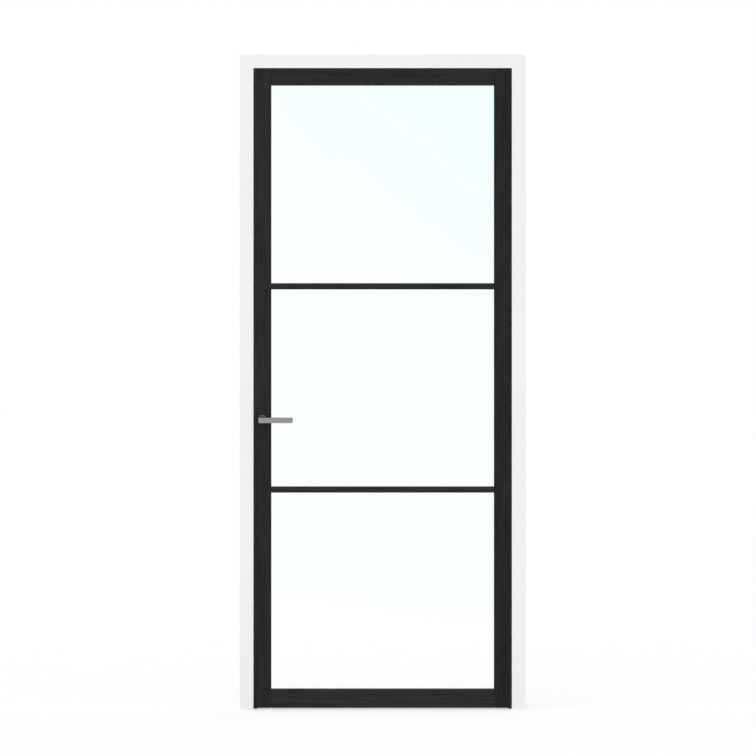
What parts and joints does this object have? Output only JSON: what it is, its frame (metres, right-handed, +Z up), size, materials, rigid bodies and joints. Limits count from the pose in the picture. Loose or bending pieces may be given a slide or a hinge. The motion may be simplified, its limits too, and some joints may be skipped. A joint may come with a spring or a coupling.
{
  "type": "glass door",
  "caption": "Tall glazed interior door leaf with slim black stiles, rails and glazing bars, a straight lever handle and concealed hinges, in a white frame.",
  "frame": {"origin": "floor level, middle of the frame's width, middle of the leaf's thickness", "axes": "+X to the right as seen from the pull side, +Y away from that side through the doorway, +Z up"},
  "size_m": [1.036, 0.144, 2.374],
  "materials": {
    "black_lacquer": "matt black lacquer with a faint grain",
    "white_lacquer": "satin white lacquer",
    "beech": "bare beech",
    "clear_glass": "clear toughened float glass, very pale cyan",
    "black_rubber": "matt black rubber",
    "brushed_steel": "brushed along its length",
    "zinc": "satin zinc casting or plating",
    "black_metal": "matt black coating"
  },
  "bodies": {
    "frame": {"lock_post": "white_lacquer", "hinge_post": "white_lacquer", "head": "white_lacquer", "stop_seal": "black_rubber", "corner_screws": "zinc", "keeper_plate": "brushed_steel", "keeper_magnet": "black_metal", "keeper_screws": "brushed_steel", "lower_frame_cup": "zinc", "middle_frame_cup": "zinc", "upper_frame_cup": "zinc", "frame_hinge_pins": "brushed_steel", "frame_hinge_screws": "zinc"},
    "leaf": {"lock_stile": "black_lacquer", "hinge_stile": "black_lacquer", "top_rail": "black_lacquer", "bottom_rail": "black_lacquer", "upper_bar": "black_lacquer", "lower_bar": "black_lacquer", "lower_beads": "black_lacquer", "middle_beads": "black_lacquer", "upper_beads": "black_lacquer", "dowels": "beech", "lower_pane": "clear_glass", "middle_pane": "clear_glass", "upper_pane": "clear_glass", "lower_glass_seal": "black_rubber", "middle_glass_seal": "black_rubber", "upper_glass_seal": "black_rubber", "setting_blocks": "black_rubber", "forend": "brushed_steel", "forend_screws": "brushed_steel", "latch_spring": "brushed_steel", "leaf_hinge_pins": "brushed_steel", "lock_case": "zinc", "lock_cover": "zinc", "front_rose_base": "zinc", "rear_rose_base": "zinc", "rose_screws": "zinc", "lower_leaf_cup": "zinc", "middle_leaf_cup": "zinc", "upper_leaf_cup": "zinc", "leaf_hinge_screws": "zinc", "front_rose": "black_metal", "rear_rose": "black_metal"},
    "frame_arms": {"lower_frame_links": "brushed_steel", "middle_frame_links": "brushed_steel", "upper_frame_links": "brushed_steel", "link_pins": "brushed_steel"},
    "leaf_arms": {"lower_leaf_link": "brushed_steel", "middle_leaf_link": "brushed_steel", "upper_leaf_link": "brushed_steel"},
    "handle": {"front_lever": "brushed_steel", "rear_lever": "brushed_steel", "spindle": "zinc", "set_screws": "black_metal", "follower": "zinc"},
    "latch": {"latch_bolt": "brushed_steel"}
  },
  "joints": [
    {"name": "leaf_swing", "type": "hinge", "parent": "frame", "child": "leaf", "pos_m": [0.4665, -0.02, 0], "axis": [0, 0, 1], "range_deg": [0, 110]},
    {"name": "frame_arm_turn", "type": "hinge", "parent": "frame", "child": "frame_arms", "pos_m": [0.4725, -0.006, 0], "axis": [0, 0, 1], "range_deg": [0, 110]},
    {"name": "leaf_arm_turn", "type": "hinge", "parent": "leaf", "child": "leaf_arms", "pos_m": [0.4605, -0.006, 0], "axis": [0, 0, 1], "range_deg": [-110, 0]},
    {"name": "lever_turn", "type": "hinge", "parent": "leaf", "child": "handle", "pos_m": [-0.435, 0, 1.048], "axis": [0, 1, 0], "range_deg": [0, 40], "stiffness_Nm_per_rad": 1.5, "springref_deg": -28.65},
    {"name": "latch_slide", "type": "slide", "parent": "leaf", "child": "latch", "axis": [1, 0, 0], "range_m": [0, 0.00801], "deforming": ["latch_spring"]}
  ],
  "couplings": [
    {"joint": "frame_arm_turn", "follows": "leaf_swing", "ratio": 1},
    {"joint": "leaf_arm_turn", "follows": "leaf_swing", "ratio": -1},
    {"joint": "latch_slide", "follows": "lever_turn", "m_per_rad": 0.011459}
  ]
}
